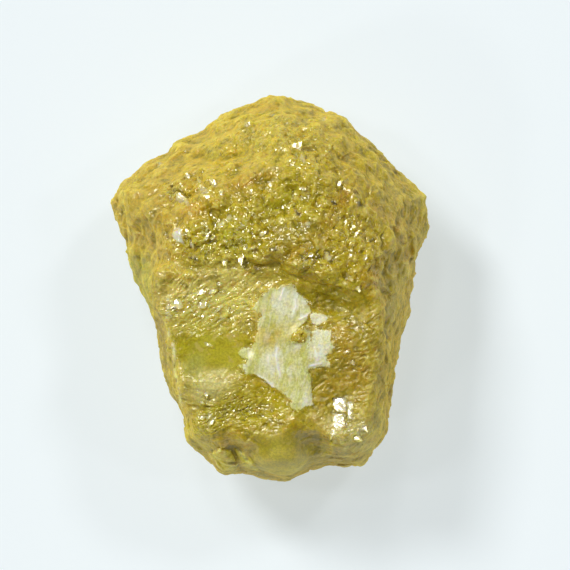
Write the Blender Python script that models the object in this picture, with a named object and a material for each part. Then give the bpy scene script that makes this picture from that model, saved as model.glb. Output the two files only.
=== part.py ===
"""Rough yellow diamond: one etched and broken crystal, 8 mm long, lying on a flat cleavage face.

Run it with blender --background --python part.py, or from Blender's text editor.

The stone is shaped in millimetres about a point inside it, then scaled to metres. It is seen best
from above (+Z). +Y runs to the blunt point of the crown, and the broken block is on the -Y side.
The origin is under the middle of the stone, on the face that it rests on.
"""

import math

import bmesh
import bpy
import numpy as np
from mathutils import Matrix, Vector, noise

MM = 0.001

# Driving dimensions, in millimetres
LENGTH = 8.0
WIDTH = 6.6
HEIGHT = 5.3
GIRDLE_HEIGHT = 1.95
GIRDLE_SWAY = 0.32
CENTRE = Vector((0.05, 0.15, 2.30))

# The plan outline at the girdle, as shares of WIDTH and LENGTH from the middle, clockwise from the point
OUTLINE = (
    (0.045, 0.495), (0.146, 0.451), (0.236, 0.435), (0.320, 0.374), (0.400, 0.313),
    (0.451, 0.256), (0.480, 0.231), (0.489, 0.184), (0.501, 0.122), (0.467, 0.037),
    (0.441, -0.058), (0.423, -0.126), (0.409, -0.229), (0.395, -0.295), (0.379, -0.382),
    (0.326, -0.439), (0.297, -0.467), (0.191, -0.458), (0.098, -0.487), (0.051, -0.507),
    (-0.010, -0.489), (-0.085, -0.476), (-0.146, -0.483), (-0.201, -0.425), (-0.260, -0.396),
    (-0.260, -0.333), (-0.301, -0.265), (-0.321, -0.182), (-0.337, -0.100), (-0.388, -0.014),
    (-0.441, 0.078), (-0.437, 0.104), (-0.467, 0.154), (-0.500, 0.218), (-0.485, 0.262),
    (-0.390, 0.304), (-0.283, 0.359), (-0.207, 0.383), (-0.143, 0.422), (-0.077, 0.450),
)

# How far the flanks lean in, in mm, by compass angle from +X: from the girdle up, and from it down
FLANK_ANGLES = (-180, -168, -150, -125, -105, -80, -50, -25, 0, 30, 60, 90, 125, 150, 165, 172, 180)
LEAN_UP = (
    0.30, 0.20, 0.14, 0.26, 0.50, 0.60, 0.50, 0.65, 1.00, 1.25, 1.15, 1.35, 1.25, 1.15, 0.95, 0.70, 0.30,
)
LEAN_DOWN = (
    0.70, 0.60, 0.55, 0.70, 0.80, 0.90, 0.70, 0.60, 0.75, 0.95, 1.05, 1.15, 0.95, 0.80, 0.75, 0.75, 0.70,
)
LEAN_UP_CURVE = 1.6
LEAN_DOWN_CURVE = 1.5
EDGE_ROUNDING = 0.14
BASE_ROUNDING = 0.02

# The crown, the etched upper part, ends in a ledge over the block. The ledge's line in plan:
LEDGE_X = (-2.60, -2.25, -1.65, -1.10, -0.75, -0.20, 0.10, 0.60, 1.20, 1.75, 2.40, 3.20)
LEDGE_Y = (0.46, 0.40, 0.36, 0.36, 0.44, 0.52, 0.46, 0.26, 0.00, -0.14, -0.22, -0.20)
LEDGE_WIDTH = 0.27
CROWN_TOP = (0.15, 1.15)
CROWN_FALL = (0.075, 0.085)
BLOCK_DROP = 0.42
BLOCK_SLOPE = 0.115
BLOCK_TILT = 0.05
BLOCK_END = -2.92
BLOCK_END_DROP = 0.62
BLOCK_END_WIDTH = 0.46
BLOCK_END_WAVE = 0.10

# Swellings and hollows of the upper side: x, y, half length, half width, turn in degrees, height
SWELLINGS = (
    (-0.10, 2.52, 0.62, 0.30, 14, 0.24),
    (0.62, 2.20, 0.45, 0.26, -40, 0.15),
    (0.32, 2.38, 0.36, 0.13, 30, -0.26),
    (-1.15, 1.75, 0.50, 0.26, -20, 0.14),
    (1.10, 1.45, 0.55, 0.30, 65, 0.13),
    (-0.55, 1.05, 0.60, 0.24, 12, 0.12),
    (0.62, 0.85, 0.46, 0.22, -30, 0.15),
    (-1.60, 0.85, 0.42, 0.24, 30, 0.10),
    (0.15, 1.50, 0.60, 0.14, 35, -0.16),
    (-0.85, 0.62, 0.50, 0.10, 5, -0.10),
    (1.20, -0.32, 0.62, 0.26, -25, -0.24),
    (1.50, -1.30, 0.50, 0.40, 70, 0.10),
    (-1.45, -0.45, 0.70, 0.30, 15, 0.08),
    (-1.20, -2.05, 0.55, 0.22, -15, 0.10),
    (0.27, -3.36, 0.60, 0.50, 60, 0.62),
    (0.10, -2.72, 0.70, 0.18, -12, -0.14),
    (-1.05, -3.30, 0.34, 0.20, -35, 0.34),
    (-0.62, -3.42, 0.40, 0.12, -50, -0.22),
    (1.55, -3.10, 0.55, 0.22, -20, 0.22),
    (0.62, -1.02, 0.24, 0.13, 20, 0.12),
)

# The cleavage flake, a thin jagged step that stands a little proud of the block, in plan
FLAKE = (
    (0.33, 0.10), (0.56, 0.08), (0.80, -0.38), (0.76, -0.54), (1.20, -0.55), (0.80, -0.74),
    (0.84, -1.04), (1.30, -0.88), (1.34, -1.25), (1.09, -1.46), (1.20, -1.58), (0.78, -1.62),
    (0.87, -1.92), (0.87, -2.38), (0.56, -2.48), (0.38, -2.28), (0.06, -2.01), (-0.27, -1.75),
    (-0.62, -1.64), (-0.48, -1.48), (-0.27, -1.42), (-0.32, -1.08), (-0.27, -0.80), (-0.40, -0.44),
    (-0.20, -0.23), (0.00, 0.00),
)
FLAKE_STEP = 0.055
FLAKE_EDGE = 0.09

# Flats where the stone broke along its grain: compass angle and elevation in degrees, depth in mm
FLATS = (
    (124, 34, 0.22), (56, 30, 0.20), (92, 52, 0.16), (18, 40, 0.20), (-14, 24, 0.16),
    (-52, 18, 0.14), (-92, 14, 0.14), (-128, 14, 0.08), (200, 14, 0.06), (176, 26, 0.08),
    (150, 48, 0.12), (35, 58, 0.10), (205, -24, 0.26), (152, -26, 0.30), (98, -30, 0.34),
    (44, -24, 0.30), (-4, -28, 0.26), (-58, -30, 0.30), (-112, -22, 0.26), (-96, 40, 0.08),
)
FLAT_ROUNDING = 0.05

# The glassy window, a smooth patch of the block: x, y, half length, half width, turn, share smoothed
WINDOW = (-1.15, -1.25, 0.85, 0.55, 0, 1.1)

# Relief that a skin of 10,000 triangles can carry, in mm: swells, rounded etched lumps, and the low
# steps of broken faces, whose treads run along one grain direction
SWELL_SIZE = 1.5
SWELL_HEIGHT = 0.13
SWELL_SHIFT = Vector((7, 3, 5))
LUMP_SIZE = 0.68
LUMP_HEIGHT = 0.17
LUMP_LEVEL = 0.45
LUMP_WARP = 0.22
GRAIN = Vector((0.34, -0.42, 0.84)).normalized()
STEP_SPACING = 0.62
STEP_HEIGHT = 0.16
STEP_WANDER = 1.1
STEP_WANDER_SIZE = 2.4
STEP_PATCH = 0.9
STEP_COVER = 0.35
STEP_SHIFT = Vector((2, 8, 1))
RISER_STEEPNESS = 4.0

# How finely the skin is worked out before it is thinned to its final triangles
SPHERE_STEPS = 7
BISECTIONS = 26
EASING_PASSES = 2
TRIANGLES = 9400

# The skin is made this much too deep, in mm, and then cut off flat at the face that it rests on
REST_CUT = 0.34
RIM_MERGE = 0.01

STONE_COLOUR = (0.46, 0.36, 0.075, 1.0)
STONE_ROUGHNESS = 0.34
STONE_IOR = 2.417


def clear_scene():
    for obj in list(bpy.data.objects):
        bpy.data.objects.remove(obj, do_unlink=True)


def smooth_max(a, b, rounding):
    """The larger of two distances, with the crease between them rounded over."""
    blend = np.maximum(rounding - np.abs(a - b), 0.0) / rounding
    return np.maximum(a, b) + blend * blend * rounding / 4


def smooth_step(low, high, value):
    t = np.clip((value - low) / (high - low), 0.0, 1.0)
    return t * t * (3 - 2 * t)


def polygon_distance(x, y, corners):
    """Signed distance in plan from a closed outline, negative inside."""
    nearest = np.full(x.shape, 1e9)
    crossings = np.zeros(x.shape, bool)
    for (ax, ay), (bx, by) in zip(corners, corners[1:] + corners[:1]):
        ex, ey = bx - ax, by - ay
        along = np.clip(((x - ax) * ex + (y - ay) * ey) / (ex * ex + ey * ey), 0.0, 1.0)
        nearest = np.minimum(nearest, np.hypot(x - ax - along * ex, y - ay - along * ey))
        if ay != by:
            crosses = ((ay > y) != (by > y)) & (x < ex * (y - ay) / ey + ax)
            crossings ^= crosses
    return np.where(crossings, -nearest, nearest)


def swelling(x, y, place):
    """A rounded oval lump, or a hollow where its height is negative."""
    middle_x, middle_y, half_length, half_width, turn, height = place
    cos, sin = math.cos(math.radians(turn)), math.sin(math.radians(turn))
    along = ((x - middle_x) * cos + (y - middle_y) * sin) / half_length
    across = ((y - middle_y) * cos - (x - middle_x) * sin) / half_width
    return height * np.exp(-(along * along + across * across))


def upper_height(x, y):
    """The height of the upper side over each point of the plan: crown, ledge, block and its lower end."""
    crown = HEIGHT - CROWN_FALL[0] * (x - CROWN_TOP[0]) ** 2
    crown = crown - CROWN_FALL[1] * (y - CROWN_TOP[1]) ** 2
    past_ledge = np.interp(x, LEDGE_X, LEDGE_Y) - y
    block = HEIGHT - BLOCK_DROP - BLOCK_SLOPE * past_ledge - BLOCK_TILT * x
    past_end = BLOCK_END - y + BLOCK_END_WAVE * np.sin(3 * x)
    block = block - BLOCK_END_DROP * smooth_step(0, BLOCK_END_WIDTH, past_end)
    share = smooth_step(-LEDGE_WIDTH / 2, LEDGE_WIDTH / 2, past_ledge)
    height = crown + (block - crown) * share
    for place in SWELLINGS:
        height = height + swelling(x, y, place)
    in_flake = smooth_step(FLAKE_EDGE / 2, -FLAKE_EDGE / 2, polygon_distance(x, y, FLAKE))
    return height + FLAKE_STEP * in_flake


def stone_field(points, outline):
    """Negative inside the stone, positive outside, and roughly a distance in mm near its skin."""
    x, y, z = points[:, 0], points[:, 1], points[:, 2]
    angle = np.degrees(np.arctan2(y, x))
    girdle = GIRDLE_HEIGHT + GIRDLE_SWAY * np.sin(np.radians(2 * angle + 40))
    above = np.clip((z - girdle) / (HEIGHT - girdle), 0.0, None)
    below = np.clip((girdle - z) / girdle, 0.0, None)
    lean = np.interp(angle, FLANK_ANGLES, LEAN_UP) * above ** LEAN_UP_CURVE
    lean = lean + np.interp(angle, FLANK_ANGLES, LEAN_DOWN) * below ** LEAN_DOWN_CURVE
    side = polygon_distance(x, y, outline) + lean
    top = z - upper_height(x, y)
    base = -REST_CUT - z
    return smooth_max(smooth_max(top, side, EDGE_ROUNDING), base, BASE_ROUNDING)


def skin_radii(directions):
    """How far the skin lies from CENTRE along each direction, by halving the interval that holds it."""
    outline = [(share_x * WIDTH, share_y * LENGTH) for share_x, share_y in OUTLINE]
    near = np.zeros(len(directions))
    far = np.full(len(directions), LENGTH)
    for _ in range(BISECTIONS):
        middle = (near + far) / 2
        outside = stone_field(np.array(CENTRE) + directions * middle[:, None], outline) > 0
        near = np.where(outside, near, middle)
        far = np.where(outside, middle, far)
    return (near + far) / 2


def shave_flats(directions, radii):
    """Planes the broken faces: each takes its depth off the furthest point on its side."""
    for compass, elevation, depth in FLATS:
        a, e = math.radians(compass), math.radians(elevation)
        normal = np.array((math.cos(a) * math.cos(e), math.sin(a) * math.cos(e), math.sin(e)))
        facing = directions @ normal
        reach = (radii * facing).max() - depth
        limit = np.where(facing > 0.05, reach / np.maximum(facing, 0.05), 1e9)
        radii = -smooth_max(-radii, -limit, FLAT_ROUNDING)
    return radii


def relief(point, normal):
    """Height of the skin above the plain form: swells, lumps on the crown and steps on broken faces."""
    swell = noise.fractal(point / SWELL_SIZE + SWELL_SHIFT, 1.0, 2.0, 2) * SWELL_HEIGHT
    warp = noise.noise_vector(point / LUMP_SIZE) * LUMP_WARP
    nearest = noise.voronoi(point / LUMP_SIZE + warp)[0][0]
    lump = (LUMP_LEVEL - nearest) * LUMP_HEIGHT
    wander = noise.noise(point / STEP_WANDER_SIZE) * STEP_WANDER
    rise = (point.dot(GRAIN) + wander) / STEP_SPACING
    tread = rise - math.floor(rise)
    patch = max(0.0, STEP_COVER + noise.noise(point / STEP_PATCH + STEP_SHIFT))
    step = (min(tread, RISER_STEEPNESS * (1.0 - tread)) - 0.4) * patch * STEP_HEIGHT
    past_ledge = point.y - np.interp(point.x, LEDGE_X, LEDGE_Y)
    etched = float(smooth_step(-LEDGE_WIDTH, LEDGE_WIDTH, past_ledge))
    broken = (1.0 - etched) * (0.6 * step + 0.35 * lump)
    return (swell + etched * lump + broken) * (1.0 - smooth_share(point, normal))


def smooth_share(point, normal):
    """Near 1 on the smooth parts of the block's upper side, the flake and the window, and 0 elsewhere."""
    if normal.z < 0.4:
        return 0.0
    window = swelling(point.x, point.y, WINDOW)
    inside_flake = -float(polygon_distance(np.array([point.x]), np.array([point.y]), FLAKE)[0])
    flake = min(1.0, max(0.0, inside_flake / FLAKE_EDGE + 0.5))
    return min(0.95, max(window, flake))


def stone_mesh():
    """The full skin: a sphere of points pushed out to the stone's form, eased, and given its relief."""
    ball = bmesh.new()
    bmesh.ops.create_icosphere(ball, subdivisions=SPHERE_STEPS, radius=1.0)
    directions = np.array([v.co.normalized() for v in ball.verts])
    radii = shave_flats(directions, skin_radii(directions))
    places = np.array(CENTRE) + directions * radii[:, None]
    for vertex, place in zip(ball.verts, places):
        vertex.co = place
    for _ in range(EASING_PASSES):
        bmesh.ops.smooth_vert(
            ball, verts=ball.verts, factor=0.5, use_axis_x=True, use_axis_y=True, use_axis_z=True
        )
    ball.normal_update()
    lifted = [v.co + v.normal * relief(v.co, v.normal) for v in ball.verts]
    for vertex, place in zip(ball.verts, lifted):
        vertex.co = place
    mesh = bpy.data.meshes.new("rough_diamond")
    ball.to_mesh(mesh)
    ball.free()
    return mesh


def thin_out(mesh):
    """Keeps about TRIANGLES faces, more of them on edges and lumps than on flats."""
    helper = bpy.data.objects.new("skin_helper", mesh)
    bpy.context.scene.collection.objects.link(helper)
    decimate = helper.modifiers.new("thin_out", "DECIMATE")
    decimate.ratio = TRIANGLES / len(mesh.polygons)
    graph = bpy.context.evaluated_depsgraph_get()
    thinned = bpy.data.meshes.new_from_object(helper.evaluated_get(graph))
    bpy.data.objects.remove(helper, do_unlink=True)
    return thinned


def cut_rest_face(mesh):
    """Splits the stone along the flat cleavage face that it lies on."""
    work = bmesh.new()
    work.from_mesh(mesh)
    everything = work.verts[:] + work.edges[:] + work.faces[:]
    cut = bmesh.ops.bisect_plane(
        work, geom=everything, dist=1e-4, plane_co=(0, 0, 0), plane_no=(0, 0, -1), clear_outer=True
    )
    rim = [e for e in cut["geom_cut"] if isinstance(e, bmesh.types.BMEdge)]
    bmesh.ops.remove_doubles(work, verts=list({v for e in rim for v in e.verts}), dist=RIM_MERGE)
    rim = [e for e in work.edges if e.is_boundary]
    bmesh.ops.edgeloop_fill(work, edges=rim)
    bmesh.ops.triangulate(work, faces=[f for f in work.faces if len(f.verts) > 3])
    bmesh.ops.recalc_face_normals(work, faces=work.faces)
    work.to_mesh(mesh)
    work.free()


def place_and_scale(mesh):
    """Centres the plan on the origin, gives the stone its driving sizes, and turns mm to metres."""
    points = np.array([v.co for v in mesh.vertices])
    low, high = points.min(axis=0), points.max(axis=0)
    middle = (low + high) / 2
    mesh.transform(Matrix.Translation((-middle[0], -middle[1], -low[2])))
    grow = np.array((WIDTH, LENGTH, HEIGHT)) / (high - low)
    mesh.transform(Matrix.Diagonal((*grow, 1)))
    mesh.transform(Matrix.Scale(MM, 4))


def diamond_material():
    material = bpy.data.materials.new("yellow_diamond")
    material.use_nodes = True
    shader = material.node_tree.nodes["Principled BSDF"]
    shader.inputs["Base Color"].default_value = STONE_COLOUR
    shader.inputs["Roughness"].default_value = STONE_ROUGHNESS
    shader.inputs["Metallic"].default_value = 0.0
    shader.inputs["IOR"].default_value = STONE_IOR
    return material


def build_diamond():
    mesh = thin_out(stone_mesh())
    cut_rest_face(mesh)
    place_and_scale(mesh)
    mesh.materials.clear()
    mesh.materials.append(diamond_material())
    stone = bpy.data.objects.new("rough_diamond", mesh)
    bpy.context.scene.collection.objects.link(stone)
    return stone


clear_scene()
build_diamond()
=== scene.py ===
"""Rough yellow diamond: the finished stone, and the pale studio floor that it lies on.

The stone is copied from the fixed frame, given a finer skin and its relief, and finished with one
crystal material. It is worked on in millimetres and brought back to metres at the end. It is seen from
straight above: +Y is the crown's blunt point, +X is to the right, and +Z comes towards the camera.
"""

import math

import bpy
import numpy as np
from bpy.props import FloatProperty, FloatVectorProperty, IntProperty, PointerProperty
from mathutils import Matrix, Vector, noise


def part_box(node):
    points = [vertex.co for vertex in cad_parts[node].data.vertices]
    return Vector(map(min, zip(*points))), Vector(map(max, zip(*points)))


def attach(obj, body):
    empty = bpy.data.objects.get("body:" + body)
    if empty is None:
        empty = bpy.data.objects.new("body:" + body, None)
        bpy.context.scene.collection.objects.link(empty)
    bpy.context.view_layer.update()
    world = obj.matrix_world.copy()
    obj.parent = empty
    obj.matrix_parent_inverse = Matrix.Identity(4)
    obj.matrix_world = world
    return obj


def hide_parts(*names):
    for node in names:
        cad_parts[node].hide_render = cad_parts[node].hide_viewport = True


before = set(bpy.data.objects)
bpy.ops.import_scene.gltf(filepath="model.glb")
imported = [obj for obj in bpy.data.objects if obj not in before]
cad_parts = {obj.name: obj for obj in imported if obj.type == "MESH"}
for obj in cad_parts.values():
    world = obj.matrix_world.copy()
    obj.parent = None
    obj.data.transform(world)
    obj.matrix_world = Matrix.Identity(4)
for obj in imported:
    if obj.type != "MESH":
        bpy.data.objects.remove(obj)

bl_info = {
    "name": "Rough Yellow Diamond",
    "version": (1, 0, 0),
    "blender": (4, 5, 0),
    "location": "View3D > Sidebar > Diamond",
    "description": "Builds an etched and broken rough yellow diamond on a pale studio floor",
    "category": "Add Mesh",
}

NODE = "rough_diamond"
MM = 0.001
CAD_LOW, CAD_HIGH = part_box(NODE)

# The ledge under the crown, in plan, in mm
LEDGE_X = (-2.60, -2.25, -1.65, -1.10, -0.75, -0.20, 0.10, 0.60, 1.20, 1.75, 2.40, 3.20)
LEDGE_Y = (0.46, 0.40, 0.36, 0.36, 0.44, 0.52, 0.46, 0.26, 0.00, -0.14, -0.22, -0.20)

# The pale cleavage flake and the splinter beside it, in plan, in mm, clockwise from the upper left
FLAKE = (
    (0.00, 0.03), (0.17, 0.00), (0.27, 0.08), (0.42, 0.09), (0.54, 0.04), (0.58, -0.10),
    (0.71, -0.19), (0.77, -0.31), (0.85, -0.44), (0.79, -0.57), (0.71, -0.71), (0.58, -0.79),
    (0.71, -0.85), (0.82, -0.89), (0.85, -1.05), (0.77, -1.15), (0.86, -1.02), (0.86, -0.89),
    (0.95, -0.84), (1.16, -0.83), (1.27, -0.89), (1.24, -1.05), (1.32, -1.23), (1.24, -1.31),
    (1.14, -1.37), (1.16, -1.47), (1.27, -1.55), (1.24, -1.62), (1.11, -1.59), (1.00, -1.60),
    (0.79, -1.66), (0.79, -1.73), (0.85, -1.84), (0.86, -2.10), (0.88, -2.34), (0.87, -2.43),
    (0.77, -2.41), (0.69, -2.42), (0.58, -2.53), (0.48, -2.47), (0.37, -2.37), (0.45, -2.29),
    (0.27, -2.16), (0.11, -2.05), (-0.02, -1.95), (-0.16, -1.84), (-0.31, -1.76), (-0.45, -1.76),
    (-0.58, -1.68), (-0.63, -1.58), (-0.50, -1.55), (-0.45, -1.44), (-0.60, -1.39), (-0.66, -1.31),
    (-0.58, -1.23), (-0.37, -1.21), (-0.30, -1.10), (-0.31, -1.02), (-0.26, -0.89), (-0.25, -0.73),
    (-0.21, -0.60), (-0.16, -0.55), (-0.31, -0.44), (-0.39, -0.43), (-0.29, -0.29), (-0.16, -0.15),
    (-0.05, -0.05),
)
SPLINTER = (
    (0.83, -0.57), (0.92, -0.50), (1.11, -0.52), (1.24, -0.57), (1.11, -0.68), (1.00, -0.76),
    (0.82, -0.71),
)
# Thin raised streaks on the flake, each a line in plan
STREAKS = (
    ((0.29, 0.00), (0.25, -0.12), (0.21, -0.23)),
    ((0.52, -0.23), (0.54, -0.36), (0.48, -0.52)),
    ((0.61, -0.63), (0.77, -0.55)),
    ((0.16, -1.21), (0.13, -1.40), (0.15, -1.58), (0.21, -1.79)),
    ((-0.02, -1.39), (-0.02, -1.55)),
    ((-0.24, -1.79), (-0.08, -1.87), (0.11, -2.05)),
    ((0.92, -1.21), (0.98, -1.47)),
    ((0.82, -1.58), (1.06, -1.52)),
)
# The sharp left edge of the block, from the ledge down
BLOCK_EDGE = (
    (-2.07, -0.15), (-2.10, -0.68), (-2.07, -1.00), (-1.97, -1.21), (-1.95, -1.68),
    (-1.84, -2.16), (-1.82, -2.63),
)

# Ovals in plan, in mm: x, y, half length, half width, turn in degrees
WINDOW = (-1.20, -1.38, 0.74, 0.44, 0)
BUMP = (0.60, -1.00, 0.17, 0.11, 12)
HUMP = (-0.10, 2.55, 0.56, 0.26, 14)
RECESS = (1.08, -0.20, 0.62, 0.32, -8)
UPPER_STRIAE = (-1.18, -0.22, 1.15, 0.72, 4)
LOWER_STRIAE = (-0.98, -2.44, 1.05, 0.52, -6)
LOBE = (0.24, -3.50, 0.58, 0.56, -20)
HAZE = (-1.24, -2.02, 0.40, 0.24, 20)
FLAKE_BAND = (0.10, -0.96, 0.46, 0.24, 20)
# Whiter parts of the flake
FLAKE_WHITES = (
    (0.30, -0.30, 0.34, 0.26, 0), (1.05, -1.15, 0.28, 0.42, 0), (0.78, -2.38, 0.16, 0.14, 0),
    (0.05, -1.50, 0.14, 0.34, 5), (0.95, -0.62, 0.24, 0.12, 0),
)
# The leathery right side of the block
RIGHT_BLOCK = (1.75, -1.45, 0.95, 1.30, 0)

# Plates turned to the main light, in plan, in mm: the two bright bars on the lower right, their white
# partly a painted highlight
BARS = (
    ((1.29, -2.24), (1.55, -2.22), (1.57, -2.52), (1.33, -2.53)),
    ((1.31, -2.56), (1.52, -2.55), (1.55, -2.82), (1.32, -2.87), (1.28, -2.66)),
    ((1.59, -2.30), (1.69, -2.32), (1.69, -2.68), (1.59, -2.65)),
)
# The half-moon highlight on the left of the crown, painted pale
HALF_MOON = (
    (-1.96, 1.21), (-1.87, 1.25), (-1.81, 1.22), (-1.82, 1.13), (-1.76, 0.92), (-1.88, 0.95), (-1.95, 1.01),
    (-2.00, 1.10),
)
# Slope along X and Y that turns a flat to throw the main light at the eye
MIRROR = (0.243, -0.243)
# How broken a plate's face is, and a chip's: 0 is one clean flat
BAR_BREAK = 0.20
CHIP_BREAK = 0.38
# How wide the splinters on them are, in mm
SPLINTER_SIZE = 0.075
# How far a plate or chip stands over the skin round it, and the most that it moves the skin, in mm
PLATE_RISE = 0.02
MOST_RISE = 0.2

# Broken chips turned the same way, partly painted white as glints: x, y, half length, half width, turn in
# degrees
CHIPS = (
    (-1.83, 1.84, 0.11, 0.09, -50), (-1.89, -0.32, 0.12, 0.09, -45), (-1.35, 2.00, 0.10, 0.07, -40),
    (-1.16, 2.16, 0.10, 0.06, -45), (1.19, 0.65, 0.10, 0.06, -65), (-1.37, -0.34, 0.09, 0.06, 0),
    (0.55, 2.90, 0.10, 0.05, -35), (-1.41, -0.08, 0.12, 0.05, 5), (-1.30, -2.16, 0.06, 0.04, -45),
    (-0.83, 1.45, 0.08, 0.05, -90), (-0.13, 1.12, 0.10, 0.05, 35), (-1.18, -0.06, 0.10, 0.04, 25),
    (1.29, -2.94, 0.07, 0.05, 60), (-1.38, -2.32, 0.05, 0.03, -10),
    (-1.28, 1.06, 0.12, 0.04, 60), (1.12, 3.46, 0.06, 0.05, -70), (-0.98, 1.32, 0.11, 0.05, 35),
    (1.96, 0.63, 0.06, 0.04, 80), (0.68, 2.03, 0.08, 0.04, -20), (0.67, 2.64, 0.09, 0.04, -55),
    (-0.57, 0.62, 0.07, 0.04, 35), (-1.04, 0.09, 0.06, 0.04, -60), (-1.04, -0.41, 0.12, 0.03, 45),
    (1.77, 1.11, 0.08, 0.04, 55), (-2.07, -0.35, 0.07, 0.04, 85), (-2.28, 2.55, 0.09, 0.04, 45),
    (0.84, 0.69, 0.06, 0.04, 10), (-0.39, 1.98, 0.06, 0.04, -80), (-0.93, 0.55, 0.06, 0.04, 5),
    (-1.68, 2.30, 0.05, 0.04, 0), (1.70, -1.51, 0.06, 0.04, -50), (-1.24, -2.61, 0.06, 0.04, 50),
    (-1.59, 0.90, 0.10, 0.03, -70), (1.80, 0.01, 0.06, 0.04, 25), (-0.99, 1.94, 0.05, 0.04, 65),
    (-1.19, -2.73, 0.10, 0.04, 50), (-1.27, -1.15, 0.09, 0.03, -20), (-1.40, -2.64, 0.08, 0.03, 0),
    (-1.70, 1.75, 0.07, 0.04, -85), (1.66, 0.19, 0.06, 0.04, -60), (0.78, 1.31, 0.05, 0.05, 35),
    (-1.45, 2.20, 0.05, 0.04, 20), (1.42, 2.13, 0.05, 0.04, 75), (-1.16, 1.02, 0.07, 0.03, 15),
    (-1.29, 1.20, 0.06, 0.03, 80), (-1.63, 1.52, 0.04, 0.04, 45), (-0.34, 0.83, 0.06, 0.03, 15),
    (1.78, -3.04, 0.06, 0.04, 20), (1.93, -2.84, 0.05, 0.03, 60),
)

# Tints of the upper side: colour, share, oval, softness of its edge
TINTS = (
    ("gold_pale", 0.20, (0.10, 3.20, 1.70, 0.42, 0), 0.8),
    ("tan", 0.95, (-2.35, 1.75, 0.70, 0.75, 0), 0.8),
    ("amber", 0.80, (-0.35, 2.24, 0.42, 0.12, 18), 0.7),
    ("amber", 0.60, (-1.48, 1.62, 0.30, 0.24, 0), 0.8),
    ("amber", 0.60, (-0.16, -0.85, 0.22, 0.42, 5), 0.8),
    ("amber", 0.45, (0.55, 0.75, 0.60, 0.12, 22), 0.8),
    ("amber", 0.45, (1.30, 1.55, 0.50, 0.16, 60), 0.8),
    ("gold_pale", 0.30, HUMP, 0.6),
    ("lime", 0.60, (-1.05, 0.95, 0.60, 0.50, 20), 0.8),
    ("lime", 0.60, (0.30, 1.65, 0.80, 0.45, -10), 0.8),
    ("olive", 0.50, (0.15, 0.55, 0.45, 0.22, 60), 0.8),
    ("olive", 0.45, (0.55, 1.20, 0.50, 0.20, -20), 0.8),
    # Painted shade in the recess under the crown's ledge.
    ("olive", 0.40, RECESS, 0.6),
    ("gold_pale", 1.00, UPPER_STRIAE, 0.6),
    ("lime", 0.80, (-1.25, -1.30, 0.85, 0.70, 0), 0.6),
    ("lime_pale", 0.75, (-0.98, -1.40, 0.50, 0.40, 0), 0.7),
    ("lime", 0.50, LOWER_STRIAE, 0.6),
    ("gold_pale", 0.80, HAZE, 0.9),
    ("frost", 0.35, HAZE, 0.9),
    ("cream", 0.45, (-1.55, -1.62, 0.34, 0.20, 70), 0.9),
    ("olive", 0.22, RIGHT_BLOCK, 0.7),
    ("frost", 0.25, (1.70, -2.95, 0.62, 0.30, -15), 0.9),
    ("frost", 0.50, (1.96, -3.09, 0.26, 0.28, 0), 0.6),
    ("frost", 0.90, (1.45, -3.13, 0.09, 0.05, -65), 0.4),
    ("frost", 0.90, (1.32, -3.06, 0.05, 0.07, 10), 0.4),
    ("frost", 0.80, (1.56, -3.28, 0.08, 0.04, 40), 0.5),
    ("lime_pale", 0.90, (-1.58, -3.18, 0.42, 0.34, -25), 0.6),
    ("lime", 0.60, LOBE, 0.5),
    ("olive", 0.25, LOBE, 0.5),
    ("lime_pale", 0.60, (0.16, -3.32, 0.14, 0.22, 20), 0.8),
    ("lime_pale", 0.35, (0.38, -3.62, 0.20, 0.12, 0), 0.8),
    ("olive", 0.35, (1.40, -3.62, 0.66, 0.30, 0), 0.5),
)

# Where pale flecks, painted glints and real glints crowd together: strength, oval, softness of its edge
CLUSTERS = (
    (1.0, (-1.80, 1.95, 0.42, 0.30, -15), 0.7), (1.0, (-1.50, 1.02, 0.50, 0.42, 20), 0.7),
    (0.8, (-0.66, 1.05, 0.55, 0.50, 10), 0.7), (0.6, (-0.17, 2.92, 0.26, 0.16, 0), 0.8),
    (0.8, (0.80, 2.55, 0.40, 0.26, -20), 0.8), (0.5, (-0.10, 1.90, 0.50, 0.20, 20), 0.8),
    (0.8, (0.95, 0.60, 0.50, 0.30, -15), 0.8), (0.6, (1.65, 1.05, 0.45, 0.70, 20), 0.8),
    (1.4, (-1.30, -0.42, 0.80, 0.34, 8), 0.6), (0.6, (-1.30, -2.72, 0.45, 0.26, 20), 0.7),
    (0.5, (-0.60, -2.45, 0.70, 0.30, -10), 0.7), (0.7, (1.65, -2.95, 0.50, 0.30, 0), 0.7),
    (0.4, (1.45, -1.20, 0.60, 0.70, 0), 0.8), (0.7, (0.15, 3.20, 1.30, 0.40, 0), 0.8),
)

# Broken shards at the lower end, in plan, in mm
SHARD_OUTLINES = (
    ((-1.27, -3.36), (-1.05, -3.30), (-0.80, -3.32), (-0.66, -3.60), (-0.60, -3.86), (-0.84, -3.90),
     (-1.08, -3.68)),
    ((-0.74, -3.26), (-0.52, -3.36), (-0.28, -3.62), (-0.08, -3.90), (-0.48, -3.92), (-0.56, -3.62)),
)
# The fold line of each shard, where a highlight is painted
SHARD_CRESTS = (((-0.96, -3.34), (-0.72, -3.84)), ((-0.62, -3.32), (-0.26, -3.84)))

# Thin dark marks: a short line in plan and its half width
SPECKS = (
    (((-2.01, 2.09), (-1.94, 2.00)), 0.022), (((-1.96, 2.00), (-1.86, 1.98)), 0.020),
    (((1.70, 2.02), (1.78, 1.95)), 0.020), (((1.81, 1.76), (1.88, 1.70)), 0.018),
    (((0.50, 1.66), (0.56, 1.52)), 0.018), (((0.56, 1.55), (0.62, 1.50)), 0.014),
    (((0.02, 0.79), (0.14, 0.80)), 0.022), (((-0.28, 0.42), (-0.22, 0.40)), 0.024),
    (((-1.95, -0.43), (-1.92, -0.45)), 0.026), (((-0.49, 3.45), (-0.46, 3.43)), 0.022),
    (((1.28, 1.77), (1.35, 1.72)), 0.016), (((-1.60, 0.62), (-1.50, 0.60)), 0.016),
    (((2.05, 0.95), (2.12, 1.00)), 0.016), (((0.95, 0.62), (1.02, 0.66)), 0.014),
)

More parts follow.
